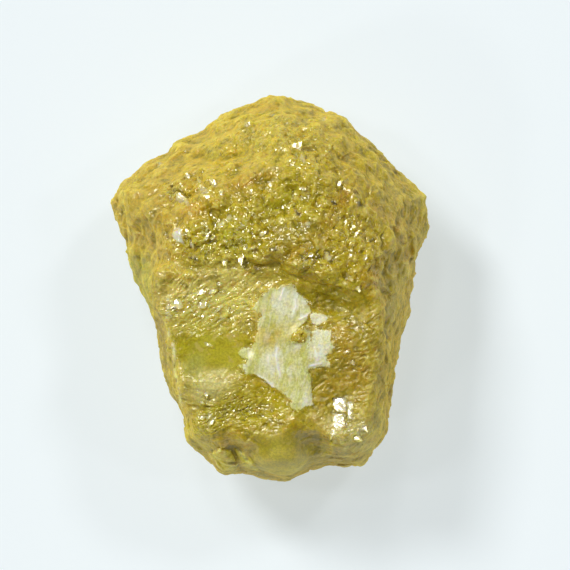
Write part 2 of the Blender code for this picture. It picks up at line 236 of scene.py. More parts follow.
# How far the crease between two flats is rounded, as a share of their size
CREASE_ROUNDING = 0.07
# How far ragged outlines wander from their drawn ones, and how often, in mm
RAGGED_BY = 0.035
RAGGED_SIZE = 0.06
# Distances from the flake's edge are kept up to this one, in mm
FAR_OFF = 0.3
# Points of the CAD skin closer than this are one point, in mm
MERGE_DISTANCE = 0.0005

# Soft boxes: compass angle from +X and height in degrees, share of the main strength, width in degrees
SOFT_BOXES = (
    (135, 52, 1.00, 14), (48, 54, 0.28, 8), (222, 48, 0.12, 6), (165, 64, 0.16, 6), (105, 66, 0.16, 6),
    (5, 60, 0.08, 5),
)


def smooth_step(low, high, value):
    t = np.clip((value - low) / (high - low), 0.0, 1.0)
    return t * t * (3 - 2 * t)


def oval(x, y, place, edge=0.3):
    """1 inside an oval and 0 outside, going over softly across edge, a share of its size."""
    middle_x, middle_y, half_length, half_width, turn = place
    cos, sin = math.cos(math.radians(turn)), math.sin(math.radians(turn))
    along = ((x - middle_x) * cos + (y - middle_y) * sin) / half_length
    across = ((y - middle_y) * cos - (x - middle_x) * sin) / half_width
    return smooth_step(1 + edge, 1 - edge, np.hypot(along, across))


def line_distance(x, y, line):
    """Distance in plan to an open line of points."""
    nearest = np.full(x.shape, 1e9)
    for (ax, ay), (bx, by) in zip(line, line[1:]):
        ex, ey = bx - ax, by - ay
        along = np.clip(((x - ax) * ex + (y - ay) * ey) / (ex * ex + ey * ey), 0.0, 1.0)
        nearest = np.minimum(nearest, np.hypot(x - ax - along * ex, y - ay - along * ey))
    return nearest


def outline_distance(x, y, corners):
    """Signed distance in plan from a closed outline, negative inside."""
    ring = corners + corners[:1]
    inside = np.zeros(x.shape, bool)
    for (ax, ay), (bx, by) in zip(ring, ring[1:]):
        if ay != by:
            inside ^= ((ay > y) != (by > y)) & (x < (bx - ax) * (y - ay) / (by - ay) + ax)
    nearest = line_distance(x, y, ring)
    return np.where(inside, -nearest, nearest)


def flake_distance(x, y):
    """Signed distance in plan from the pale flake's edge, with the bump that breaks through it left out."""
    flake = np.minimum(outline_distance(x, y, FLAKE), outline_distance(x, y, SPLINTER))
    middle_x, middle_y, half_length, half_width, _ = BUMP
    bump = (1 - np.hypot((x - middle_x) / half_length, (y - middle_y) / half_width)) * half_width
    return np.maximum(flake, bump)


def field(points, size, shift, function):
    """function's value at each point, with the pattern size mm large."""
    return np.array([function(Vector(p)) for p in points / size + shift])


def facet(point):
    """Tilted flats that meet in rounded creases, as on broken and etched crystal."""
    (first, second, _, _), (near, next_near, _, _) = noise.voronoi(point)
    lean = noise.cell_vector(near * 9.7) - Vector((0.5, 0.5, 0.5))
    next_lean = noise.cell_vector(next_near * 9.7) - Vector((0.5, 0.5, 0.5))
    here = (point - near).dot(lean)
    there = (point - next_near).dot(next_lean)
    share = 0.5 * max(0.0, 1.0 - (second - first) / CREASE_ROUNDING)
    return here + (there - here) * share


def crease(point):
    """Sharp crests between rounded hollows, from -1 in a hollow to 0 on a crest."""
    return -abs(noise.noise(point)) * 2.0


def stretched(points, turn, along, across, wander):
    """The points in a pattern's own units, drawn out along one direction in plan and bent by noise."""
    cos, sin = math.cos(math.radians(turn)), math.sin(math.radians(turn))
    x, y, z = points.T
    bend = field(points, 0.8, 3.0, noise.noise) * wander
    return np.stack(((x * cos + y * sin) / along, (y * cos - x * sin + bend) / across, z / across), axis=1)


class StoneShape(bpy.types.PropertyGroup):
    skin: FloatProperty(
        name="Skin", description="Spacing of the points on the stone's skin, in mm", default=0.048, min=0.02
    )
    faces: IntProperty(name="Triangles", description="Triangles of the finished stone", default=192000)
    crown_flats: FloatProperty(
        name="Crown Flats", description="Size of the larger flats, in mm", default=0.34
    )
    crown_crumple: FloatProperty(
        name="Crown Crumple", description="Size of the small flats, in mm", default=0.15
    )
    chips: FloatProperty(name="Chips", description="Size of the smallest flats, in mm", default=0.095)
    crown_depth: FloatProperty(
        name="Crown Depth", description="Depth of the crown's relief, as a share", default=1.0
    )
    striae_spacing: FloatProperty(
        name="Striae", description="Distance between the block's ridges, in mm", default=0.075
    )
    striae_depth: FloatProperty(
        name="Striae Depth", description="Height of the block's ridges, in mm", default=0.034
    )
    flake_step: FloatProperty(
        name="Flake Step", description="Height of the pale flake's edge, in mm", default=0.014
    )


def colour_property(name, description, default):
    return FloatVectorProperty(name=name, description=description, subtype="COLOR", default=default)


class StoneColours(bpy.types.PropertyGroup):
    gold: colour_property("Gold", "The stone's own colour", (0.62, 0.48, 0.010))
    # Pale gold also serves as painted light on proud crests.
    gold_pale: colour_property("Pale Gold", "The striated part of the block", (0.93, 0.80, 0.20))
    # Olive also serves as painted shade in hollows and in the recess under the crown.
    olive: colour_property("Olive", "Deep colour of hollows", (0.29, 0.24, 0.002))
    lime: colour_property("Lime", "Clear yellow-green", (0.58, 0.53, 0.02))
    lime_pale: colour_property("Pale Lime", "Clouded yellow-green", (0.68, 0.61, 0.05))
    tan: colour_property("Tan", "Dusty pinkish skin of the left side", (0.62, 0.44, 0.04))
    amber: colour_property("Amber", "Rusty stains", (0.66, 0.36, 0.012))
    cream: colour_property("Cream", "Pale cleavage flake", (0.64, 0.66, 0.20))
    frost: colour_property("Frost", "Frosted white of bruises", (0.86, 0.87, 0.60))
    dust: colour_property("Dust", "Pale pinkish grains", (0.80, 0.64, 0.18))
    # Frosted strokes, which also stand in as painted glints where the clusters crowd.
    fleck_and_glint: colour_property("Fleck", "Fine bright strokes", (0.92, 0.84, 0.22))
    # Painted shade in creases, beside the block's left edge and round the shards.
    crease_shade: colour_property("Brown", "Dark creases", (0.13, 0.08, 0.003))
    deep_green: colour_property("Deep Green", "Lower left flank", (0.40, 0.42, 0.04))
    # Painted on steep sides: a warmer tint that hides the grey reflection of sky and floor they show.
    flank: colour_property("Flank", "Warm gold of the steep sides", (0.74, 0.47, 0.004))
    speck: colour_property("Speck", "Small dark marks", (0.05, 0.03, 0.002))
    # Painted highlight along the block's sharp left edge.
    painted_rim_highlight: colour_property("Rim", "Sharp left edge of the block", (0.96, 0.95, 0.80))
    # Painted glints: thin bright lines in the clusters.
    painted_glint_vein: colour_property("Vein", "Thin bright veins in the clusters", (0.97, 0.94, 0.50))
    # Painted glint white on plates turned to the light.
    painted_glint_white: colour_property("Clean Flat", "Plates that shine white", (0.97, 0.97, 0.78))
    fibre: colour_property("Fibre", "Whitest fibres of the flake", (0.90, 0.93, 0.76))
    streak: colour_property("Streak", "Raised streaks of the flake", (0.98, 0.98, 0.90))


class StudioValues(bpy.types.PropertyGroup):
    floor: colour_property("Floor", "Colour of the floor", (0.38, 0.41, 0.43))
    floor_glow: colour_property(
        "Floor Glow", "Light that comes up through the lit table", (0.48, 0.52, 0.53)
    )
    key: FloatProperty(name="Key", description="Strength of the main light", default=1.90)
    sky: FloatProperty(name="Sky", description="Strength of the light from all round", default=0.30)
    view_width: FloatProperty(
        name="View Width", description="Width that the camera sees, in mm", default=11.78
    )


def select_only(obj):
    bpy.ops.object.select_all(action="DESELECT")
    obj.select_set(True)
    bpy.context.view_layer.objects.active = obj


def apply_modifier(obj, name, kind, **settings):
    modifier = obj.modifiers.new(name, kind)
    for key, value in settings.items():
        setattr(modifier, key, value)
    bpy.ops.object.modifier_apply(modifier=modifier.name)


def point_array(mesh):
    values = np.empty(len(mesh.vertices) * 3, np.float32)
    mesh.attributes["position"].data.foreach_get("vector", values)
    return values.reshape(-1, 3).astype(float)


def normal_array(mesh):
    values = np.empty(len(mesh.vertices) * 3, np.float32)
    mesh.vertex_normals.foreach_get("vector", values)
    return values.reshape(-1, 3).astype(float)


def set_points(mesh, points):
    mesh.attributes["position"].data.foreach_set("vector", points.astype(np.float32).ravel())
    mesh.update()


def copy_stone():
    """The CAD solid's skin as a new object, in millimetres, with its loose triangles merged."""
    stone = bpy.data.objects.new("diamond_stone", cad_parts[NODE].data.copy())
    bpy.context.scene.collection.objects.link(stone)
    select_only(stone)
    stone.scale = (1 / MM, 1 / MM, 1 / MM)
    bpy.ops.object.transform_apply(location=False, rotation=False, scale=True)
    bpy.ops.object.mode_set(mode="EDIT")
    bpy.ops.mesh.select_all(action="SELECT")
    bpy.ops.mesh.remove_doubles(threshold=MERGE_DISTANCE)
    bpy.ops.object.mode_set(mode="OBJECT")
    return stone


def refine_skin(stone, shape):
    """An even fine skin in place of the CAD facets, finer still on the upper side."""
    apply_modifier(stone, "skin", "REMESH", mode="VOXEL", voxel_size=shape.skin)
    apply_modifier(stone, "ease", "SMOOTH", factor=0.5, iterations=5)
    normals = np.array([f.normal for f in stone.data.polygons])
    heights = np.array([f.center.z for f in stone.data.polygons])
    upper = (normals[:, 2] > 0.35) & (heights > 3.0)
    bpy.ops.object.mode_set(mode="EDIT")
    bpy.ops.mesh.select_all(action="DESELECT")
    bpy.ops.object.mode_set(mode="OBJECT")
    stone.data.polygons.foreach_set("select", upper)
    bpy.ops.object.mode_set(mode="EDIT")
    bpy.ops.mesh.select_mode(type="FACE")
    bpy.ops.mesh.subdivide(number_cuts=1, smoothness=0)
    bpy.ops.object.mode_set(mode="OBJECT")


def shade_facets(stone):
    """Leaves the etched and broken skin in its small flat facets, and smooths the glassy parts."""
    bpy.ops.object.shade_flat()
    grain = np.empty(len(stone.data.vertices), np.float32)
    stone.data.attributes["grain"].data.foreach_get("value", grain)
    corners = np.empty(len(stone.data.polygons) * 3, np.int32)
    stone.data.polygons.foreach_get("vertices", corners)
    stone.data.polygons.foreach_set("use_smooth", grain[corners.reshape(-1, 3)].mean(axis=1) < 0.5)
    stone.data.update()


def crowding(x, y):
    """How closely flecks and glints crowd together: 0 away from the clusters, about 1 in a full one."""
    crowd = np.zeros(x.shape)
    for strength, place, softness in CLUSTERS:
        crowd = np.maximum(crowd, strength * oval(x, y, place, softness))
    return crowd


def ragged_plan(points):
    """Each point's place in plan, jittered so that an outline drawn with it comes out ragged."""
    x = points[:, 0] + RAGGED_BY * field(points, RAGGED_SIZE, 1.0, noise.noise)
    y = points[:, 1] + RAGGED_BY * field(points, RAGGED_SIZE, 4.0, noise.noise)
    return x, y


def mirror_shares(points, shown):
    """For each bright plate and chip, its share at every point, and how broken its face is."""
    x, y = ragged_plan(points)
    for outline in BARS:
        yield smooth_step(0.012, -0.012, outline_distance(x, y, outline)) * shown, BAR_BREAK
    for place in CHIPS:
        yield oval(x, y, place, 0.25) * shown, CHIP_BREAK


def turn_to_light(points, normals, shown, lift):
    """Lets the skin inside each plate and chip rise to one plane that throws the main light at the eye."""
    x, y, z = points.T
    fall = normals[:, 2] - MIRROR[0] * normals[:, 0] - MIRROR[1] * normals[:, 1]
    splinters = field(points, SPLINTER_SIZE, 2.0, facet) * SPLINTER_SIZE
    for share, broken in mirror_shares(points, shown):
        inside = share > 0.5
        if inside.any():
            middle = points[inside].mean(axis=0)
            level = middle[2] + PLATE_RISE + MIRROR[0] * (x - middle[0]) + MIRROR[1] * (y - middle[1])
            rise = np.clip((level - z) / np.maximum(fall, 0.3), -MOST_RISE, MOST_RISE)
            lift = lift + (rise + broken * splinters - lift) * share
    return lift


def dome(x, y, place):
    """A round-topped swelling, 1 high."""
    middle_x, middle_y, half_length, half_width, _ = place
    out = np.hypot((x - middle_x) / half_length, (y - middle_y) / half_width)
    return np.maximum(0.0, 1 - out * out) ** 0.8


def shown_share(points, normals):
    """1 where the skin faces up, and on the lower end's front, and 0 on the other flanks."""
    front = smooth_step(-3.0, -3.3, points[:, 1]) * smooth_step(2.2, 3.2, points[:, 2])
    return np.maximum(smooth_step(0.25, 0.6, normals[:, 2]), front)


def past_ledge(x, y):
    """How far a place lies below the ledge in plan, in mm, and negative on the crown."""
    return np.interp(x, LEDGE_X, LEDGE_Y) - y


def crown_share(points):
    """1 on the crown and 0 on the block."""
    return smooth_step(-0.10, 0.12, -past_ledge(points[:, 0], points[:, 1]))


def outer_share(x, y):
    """0 over the middle of the stone, as seen from above, and 1 towards its outline."""
    return smooth_step(0.60, 0.95, np.hypot(x / 3.1, (y - 0.2) / 3.8))


def facet_fields(points, shape):
    """The larger flats, the small ones and the broken chips, each as a height in mm."""
    flats = field(points, shape.crown_flats, 5.0, facet) * shape.crown_flats
    crumple = field(points, shape.crown_crumple, 11.0, facet) * shape.crown_crumple
    chips = field(points, shape.chips, 1.0, facet) * shape.chips
    return flats, crumple, chips


def crown_relief(points, facets, shape):
    """Etched lumps, ridges drawn out along the grain, flats, and clusters of fine pebbling."""
    x, y = points[:, 0], points[:, 1]
    flats, crumple, chips = facets
    swells = field(stretched(points, 22, 0.46, 0.30, 0.1), 1.0, 2.0, noise.noise)
    crests = field(stretched(points, 22, 0.34, 0.20, 0.1), 1.0, 7.0, crease)
    hump = 1 - 0.40 * oval(x, y, HUMP)
    lively = (0.62 + 0.70 * crowding(x, y)) * (1 - 0.5 * outer_share(x, y))
    relief = 0.055 * swells + 0.030 * crests + hump * (0.26 * flats + 0.36 * lively * crumple)
    return (relief + hump * 0.50 * lively * chips) * shape.crown_depth


def grain_relief(points, facets, shape):
    """The block's striae and its leathery grain, with small flats and chips between them."""
    x, y = points[:, 0], points[:, 1]
    flats, crumple, chips = facets
    rising = field(stretched(points, 33, 0.24, shape.striae_spacing, 0.16), 1.0, 0.0, crease) + 0.5
    waving = field(stretched(points, 10, 0.22, shape.striae_spacing, 0.24), 1.0, 4.0, crease) + 0.5
    leather = field(stretched(points, 28, 0.16, 0.09, 0.1), 1.0, 8.0, crease) + 0.5
    upper, lower = oval(x, y, UPPER_STRIAE, 0.5), oval(x, y, LOWER_STRIAE, 0.5)
    right = oval(x, y, RIGHT_BLOCK, 0.4)
    relief = shape.striae_depth * (0.8 * upper * rising + 0.9 * lower * waving)
    relief = relief + 0.16 * flats + (0.14 - 0.05 * right) * crumple + 0.014 * leather * (0.4 + right)
    return relief + chips * (0.14 - 0.06 * right + 0.26 * crowding(x, y))


def flake_relief(x, y, in_flake, facets, shape):
    """The flake's low step with its raised streaks, and the bump that comes through it."""
    _, crumple, chips = facets
    relief = shape.flake_step * in_flake
    for line in STREAKS:
        relief = relief + 0.012 * np.exp(-((line_distance(x, y, line) / 0.022) ** 2))
    return relief + oval(x, y, BUMP) * (0.045 + 0.6 * crumple + 0.4 * chips)


def lower_end_relief(x, y, flats):
    """The smooth lobe, the low shards beside it and the broken skin round them."""
    relief = 0.07 * dome(x, y, LOBE)
    for outline in SHARD_OUTLINES:
        relief = relief + 0.035 * smooth_step(0.015, -0.015, outline_distance(x, y, outline))
    return relief + smooth_step(-3.1, -3.3, y) * smooth_step(-0.1, -0.3, x) * 0.12 * flats


def block_relief(points, facets, shape):
    """Everything on the block: its grain, the flake, the lower end, and the slope up to the ledge."""
    x, y = points[:, 0], points[:, 1]
    smooth = np.maximum(0.9 * oval(x, y, WINDOW, 0.8), 0.85 * oval(x, y, LOBE, 0.3))
    smooth = np.maximum(smooth, 0.6 * oval(x, y, HAZE, 0.6))
    in_flake = smooth_step(0.015, -0.015, flake_distance(x, y))
    plain = (1 - smooth) * (1 - 0.9 * in_flake)
    relief = plain * grain_relief(points, facets, shape) + flake_relief(x, y, in_flake, facets, shape)
    relief = relief + lower_end_relief(x, y, facets[0])
    return relief + 0.10 * smooth_step(0.45, 0.0, past_ledge(x, y)) * smooth_step(2.2, 1.5, x)


def stone_relief(points, normals, shape):
    """How far each point of the skin is lifted along its normal, in mm."""
    upward = shown_share(points, normals)
    crown = crown_share(points)
    facets = facet_fields(points, shape)
    etched = crown_relief(points, facets, shape)
    broken = block_relief(points, facets, shape)
    side = (0.80 + 0.10 * smooth_step(3.3, 3.8, points[:, 2])) * etched
    lift = crown * etched + (1 - crown) * (upward * broken + (1 - upward) * side)
    return turn_to_light(points, normals, upward, lift)


def shape_relief(stone, shape):
    """Lifts the skin into its relief, keeps the rest face flat, and fits the stone to its frame's box."""
    points = point_array(stone.data)
    normals = normal_array(stone.data)
    lift = stone_relief(points, normals, shape)
    resting = smooth_step(0.12, 0.02, points[:, 2])
    points = points + normals * (lift * (1 - resting))[:, None]
    points[:, 2] = np.maximum(points[:, 2], 0.0)
    low, high = points.min(axis=0), points.max(axis=0)
    cad_low, cad_high = np.array(CAD_LOW) / MM, np.array(CAD_HIGH) / MM
    points = cad_low + (points - low) * (cad_high - cad_low) / (high - low)
    set_points(stone.data, points)
    bpy.ops.object.mode_set(mode="EDIT")
    bpy.ops.mesh.select_all(action="SELECT")
    bpy.ops.mesh.quads_convert_to_tris()
    bpy.ops.object.mode_set(mode="OBJECT")
    if len(stone.data.polygons) > shape.faces:
        apply_modifier(stone, "thin", "DECIMATE", ratio=shape.faces / len(stone.data.polygons))
        set_points(stone.data, np.clip(point_array(stone.data), cad_low, cad_high))


def hollow_depth(mesh, passes):
    """How far each point stands proud of its surroundings, in mm, and negative in a hollow."""
    points = point_array(mesh)
    ends = np.empty(len(mesh.edges) * 2, np.int32)
    mesh.edges.foreach_get("vertices", ends)
    first, second = ends.reshape(-1, 2).T
    total = len(points)
    count = np.bincount(first, minlength=total) + np.bincount(second, minlength=total)
    eased = points.copy()
    for _ in range(passes):
        eased = np.stack(
            [
                np.bincount(first, eased[second, k], total) + np.bincount(second, eased[first, k], total)
                for k in range(3)
            ],
            axis=1,
        ) / count[:, None]
    return ((points - eased) * normal_array(mesh)).sum(axis=1)


def blend_colour(base, colour, share):
    return base + (np.array(colour) - base) * share[:, None]


def side_tint(points, facing, colours):
    """The stone's own gold with its slow drifts, the tints of its left wall, painted shade beside the
    block's edge, and steep flanks painted warmer against their grey reflection.
    """
    x, y, z = points.T
    drift = field(points, 1.1, 6.0, noise.noise)
    stain = field(points, 0.6, 9.0, noise.noise)
    tint = np.tile(np.array(colours.gold), (len(points), 1))
    tint = blend_colour(tint, colours.lime, 0.50 * smooth_step(0.0, 0.5, drift))
    tint = blend_colour(tint, colours.amber, 0.40 * smooth_step(0.15, 0.6, stain))
    tint = blend_colour(tint, colours.tan, 0.25 * smooth_step(0.0, 0.5, -drift))
    wall = smooth_step(-1.2, -2.5, x) * smooth_step(-2.8, -0.8, y) * smooth_step(0.2, 2.4, z)
    tint = blend_colour(tint, colours.tan, 0.60 * wall)
    low_left = smooth_step(-1.4, -2.2, x) * smooth_step(1.2, 0.4, y) * smooth_step(3.0, 2.0, z)
    tint = blend_colour(tint, colours.deep_green, 0.8 * low_left)
    beside = np.interp(-y, [-point[1] for point in BLOCK_EDGE], [point[0] for point in BLOCK_EDGE]) - x
    shade = smooth_step(0.02, 0.08, beside) * smooth_step(0.50, 0.20, beside) * smooth_step(0.5, 0.1, y)
    tint = blend_colour(tint, colours.crease_shade, 0.45 * shade * smooth_step(-3.0, -2.6, y))
    strip = smooth_step(0.22, 0.45, beside) * smooth_step(1.0, 0.5, y) * smooth_step(-3.2, -2.6, y)
    tint = blend_colour(tint, colours.deep_green, 0.7 * strip)
    # Steep flanks painted warmer, to hide the grey reflection of sky and floor on them.
    return blend_colour(tint, colours.flank, 0.35 * (1 - facing) * smooth_step(-2.4, -1.0, x))


def marked_tint(tint, points, upward, colours):
    """The placed tints of the upper side with the painted shade of the recess, the shards with their
    painted fold highlights and the painted shade round them, the painted highlight along the block's left
    edge, and the dark specks.
    """
    x, y, z = points.T
    for name, share, place, softness in TINTS:
        tint = blend_colour(tint, getattr(colours, name), share * oval(x, y, place, softness) * upward)
    for outline, ridge in zip(SHARD_OUTLINES, SHARD_CRESTS):
        inside = outline_distance(x, y, outline)
        tint = blend_colour(tint, colours.lime_pale, 0.9 * smooth_step(0.02, -0.05, inside) * upward)
        # Painted highlight along the shard's fold line.
        bright = np.exp(-((line_distance(x, y, ridge) / 0.03) ** 2))
        tint = blend_colour(tint, colours.frost, 0.6 * bright * upward)
        # Painted shade in the crease round the shard's edge.
        edge = np.exp(-(((inside - 0.01) / 0.014) ** 2))
        tint = blend_colour(tint, colours.crease_shade, 0.35 * edge * upward)
    # Painted highlight along the block's sharp left edge, broken up by noise.
    painted_rim_highlight = np.exp(-((line_distance(x, y, BLOCK_EDGE) / 0.03) ** 2)) * smooth_step(2.8, 3.4, z)
    painted_rim_highlight = painted_rim_highlight * smooth_step(-0.5, -0.1, field(points, 0.12, 3.0, noise.noise))
    tint = blend_colour(tint, colours.painted_rim_highlight, 0.95 * painted_rim_highlight)
    speck = np.zeros(len(points))
    for line, half_width in SPECKS:
        speck = np.maximum(speck, smooth_step(2.3, 1.5, line_distance(x, y, line) / half_width))
    return blend_colour(tint, colours.speck, 0.95 * speck * upward)


def write_flake(mesh, x, y, upward):
    """Where the pale flake lies, its streaks, its thin band and its whiter parts."""
    streak = np.zeros(len(x))
    for line in STREAKS:
        streak = np.maximum(streak, np.exp(-((line_distance(x, y, line) / 0.032) ** 2)))
    pale = np.zeros(len(x))
    for place in FLAKE_WHITES:
        pale = np.maximum(pale, oval(x, y, place, 0.7))
    edge = np.where(upward > 0.3, np.clip(flake_distance(x, y), -FAR_OFF, FAR_OFF), FAR_OFF)
    write_values(mesh, "flake_edge", edge)
    write_values(mesh, "flake_streak", streak)
    write_values(mesh, "flake_thin", oval(x, y, FLAKE_BAND, 0.8))
    write_values(mesh, "flake_white", pale)


def write_finish(mesh, points, normals, upward, facing):
    """How smooth, glassy, flecked (partly painted glints), hollow and rough the skin is at each point, and
    where glints are painted white.
    """
    x, y = points[:, 0], points[:, 1]
    # Painted highlight: the half-moon, painted pale.
    flat = 0.9 * smooth_step(0.020, -0.020, outline_distance(x, y, HALF_MOON)) * upward
    # white: share of the painted glint white on the plates, chips and half-moon.
    mirror, white = np.zeros(len(points)), flat
    for share, broken in mirror_shares(points, upward):
        mirror = np.maximum(mirror, share)
        white = np.maximum(white, (0.75 - broken) * share)
    glassy = oval(x, y, WINDOW, 0.8) * upward
    calm = np.maximum(0.7 * oval(x, y, LOBE, 0.3), 0.9 * oval(x, y, HAZE, 0.6)) * upward
    smooth = np.maximum(np.maximum(glassy, flat), 0.8 * oval(x, y, LOBE, 0.4) * upward)
    smooth = np.maximum(smooth, 0.55 * mirror)
    crowd = crowding(x, y) * upward
    off_ledge = 1 - 0.9 * np.exp(-(((past_ledge(x, y) - 0.04) / 0.14) ** 2)) * upward
    etched = 0.10 * oval(x, y, RIGHT_BLOCK, 0.4) + 0.05 * oval(x, y, UPPER_STRIAE, 0.4)
    rough = 0.24 + etched * (1 - mirror) - 0.12 * np.maximum(crowd, mirror)
    rough = rough + 0.08 * outer_share(x, y) + 0.24 * (1 - facing)
    write_values(mesh, "glassy", np.maximum(glassy, calm))
    write_values(mesh, "stands_proud", hollow_depth(mesh, 14) * off_ledge)
    write_values(mesh, "crevice", hollow_depth(mesh, 3) * off_ledge)
    write_values(mesh, "flecks", (0.15 + 0.85 * crowd) * (1 - smooth))
    write_values(mesh, "rough", rough)
    write_values(mesh, "grain", 1 - 0.85 * smooth)
    write_values(mesh, "facing", facing)
    write_values(mesh, "steep", smooth_step(0.92, 0.55, normals[:, 2]))
    write_values(mesh, "striae", oval(x, y, UPPER_STRIAE, 0.4) * (1 - crown_share(points)) * upward)
    write_values(mesh, "painted_glint", white)


def paint_stone(stone, colours):
    """Writes the stone's tints and finish to its points, for the crystal material to read."""
    mesh = stone.data
    points = point_array(mesh)
    normals = normal_array(mesh)
    upward = shown_share(points, normals)
    facing = smooth_step(0.25, 0.6, normals[:, 2])
    write_flake(mesh, points[:, 0], points[:, 1], upward)
    write_finish(mesh, points, normals, upward, facing)
    tint = marked_tint(side_tint(points, facing, colours), points, upward, colours)
    layer = mesh.attributes.new("tint", "FLOAT_COLOR", "POINT")
    layer.data.foreach_set("color", np.column_stack((tint, np.ones(len(tint)))).astype(np.float32).ravel())


def write_values(mesh, name, values):
    layer = mesh.attributes.new(name, "FLOAT", "POINT")
    layer.data.foreach_set("value", values.astype(np.float32))


class Nodes:
    """Short ways to add nodes to one material."""

    def __init__(self, material):
        material.use_nodes = True
        self.tree = material.node_tree
        self.shader = self.tree.nodes["Principled BSDF"]
        self.output = self.tree.nodes["Material Output"]

    def add(self, kind, inputs=(), **settings):
        node = self.tree.nodes.new(kind)
        for key, value in settings.items():
            setattr(node, key, value)
        for key, value in dict(inputs).items():
            self.put(node.inputs[key], value)
        return node

    def put(self, socket, value):
        if isinstance(value, bpy.types.NodeSocket):
            self.tree.links.new(value, socket)
        else:
            socket.default_value = value

    def attribute(self, name, output="Fac"):
        return self.add("ShaderNodeAttribute", attribute_name=name).outputs[output]

    def math(self, operation, a, b=0.0):
        return self.add("ShaderNodeMath", {0: a, 1: b}, operation=operation).outputs[0]

    def remap(self, value, low, high, to_low=0.0, to_high=1.0):
        inputs = {"Value": value, "From Min": low, "From Max": high, "To Min": to_low, "To Max": to_high}
        return self.add("ShaderNodeMapRange", inputs, interpolation_type="SMOOTHSTEP").outputs["Result"]

    def mix(self, share, a, b):
        node = self.add("ShaderNodeMix", data_type="RGBA")
        self.put(node.inputs[0], share)
        self.put(node.inputs[6], a if isinstance(a, bpy.types.NodeSocket) else (*tuple(a), 1.0))
        self.put(node.inputs[7], b if isinstance(b, bpy.types.NodeSocket) else (*tuple(b), 1.0))
        return node.outputs[2]

    def turned(self, vector, turn, scale):
        """The vector turned about Z by so many degrees, then stretched."""
        turned = self.add("ShaderNodeMapping", {"Vector": vector, "Rotation": (0, 0, -math.radians(turn))})
        return self.add("ShaderNodeMapping", {"Vector": turned.outputs[0], "Scale": scale}).outputs[0]

    def noise(self, vector, scale, detail=2.0, roughness=0.5, distortion=0.0):
        inputs = {"Vector": vector, "Scale": scale, "Detail": detail}
        inputs.update({"Roughness": roughness, "Distortion": distortion})
        return self.add("ShaderNodeTexNoise", inputs).outputs["Fac"]


def crystal_material(colours):
    """Yellow diamond: see-through crystal, clouded and stained, with a pale flake and glinting flats, their
    glints partly painted white.
    """
    material = bpy.data.materials.new("yellow_diamond")
    nodes = Nodes(material)
    metres = nodes.add("ShaderNodeTexCoord").outputs["Object"]
    place = nodes.add("ShaderNodeVectorMath", {0: metres, "Scale": 1 / MM}, operation="SCALE").outputs[0]
    grit = nodes.noise(place, 21.0, 3.0, 0.7)
    body = body_colour(nodes, place, grit, colours)
    on_flake = flake_share(nodes, place)
    thin = nodes.math("MULTIPLY", nodes.attribute("flake_thin"), 0.45)
    cover = nodes.remap(nodes.noise(place, 5.0, 3.0, 0.6), 0.35, 0.60, 0.70, 0.95)
    cover = nodes.math("SUBTRACT", cover, thin)
    flake = flake_colour(nodes, place, grit, colours)
    colour = nodes.mix(nodes.math("MULTIPLY", on_flake, cover), body, flake)
    # Painted glint white on the bright plates, chips and half-moon.
    colour = nodes.mix(nodes.attribute("painted_glint"), colour, colours.painted_glint_white)
    nodes.put(nodes.shader.inputs["Base Color"], colour)
    clear = nodes.remap(nodes.attribute("facing"), 0.0, 1.0, 0.06, 0.28)
    clear = nodes.math("MULTIPLY", clear, nodes.remap(on_flake, 0.0, 1.0, 1.0, 0.3))
    nodes.put(nodes.shader.inputs["Transmission Weight"], clear)
    patchy = nodes.math("MULTIPLY", nodes.math("SUBTRACT", nodes.noise(place, 3.0, 2.0), 0.5), 0.14)
    rough = nodes.math("MAXIMUM", nodes.math("ADD", nodes.attribute("rough"), patchy), 0.07)
    rough = nodes.math("MAXIMUM", rough, nodes.math("MULTIPLY", on_flake, 0.38))
    nodes.put(nodes.shader.inputs["Roughness"], rough)
    height = nodes.math("MULTIPLY", nodes.noise(place, 12.0, 1.0, 0.5), nodes.attribute("grain"))
    bump = nodes.add("ShaderNodeBump", {"Height": height, "Strength": 1.0, "Distance": 0.003 * MM})
    nodes.put(nodes.shader.inputs["Normal"], bump.outputs[0])
    for name, value in {
        "IOR": 2.417,
        "Subsurface Weight": 0.65,
        "Subsurface Radius": (1.0, 0.75, 0.12),
        "Subsurface Scale": 0.20 * MM,
        "Specular Tint": (1.0, 0.96, 0.80, 1.0),
        "Specular IOR Level": 0.12,
    }.items():
        nodes.shader.inputs[name].default_value = value
    clarity = {"Color": (0.95, 0.88, 0.30, 1.0), "Density": 900.0}
    absorption = nodes.add("ShaderNodeVolumeAbsorption", clarity)
    nodes.put(nodes.output.inputs["Volume"], absorption.outputs[0])
    return material


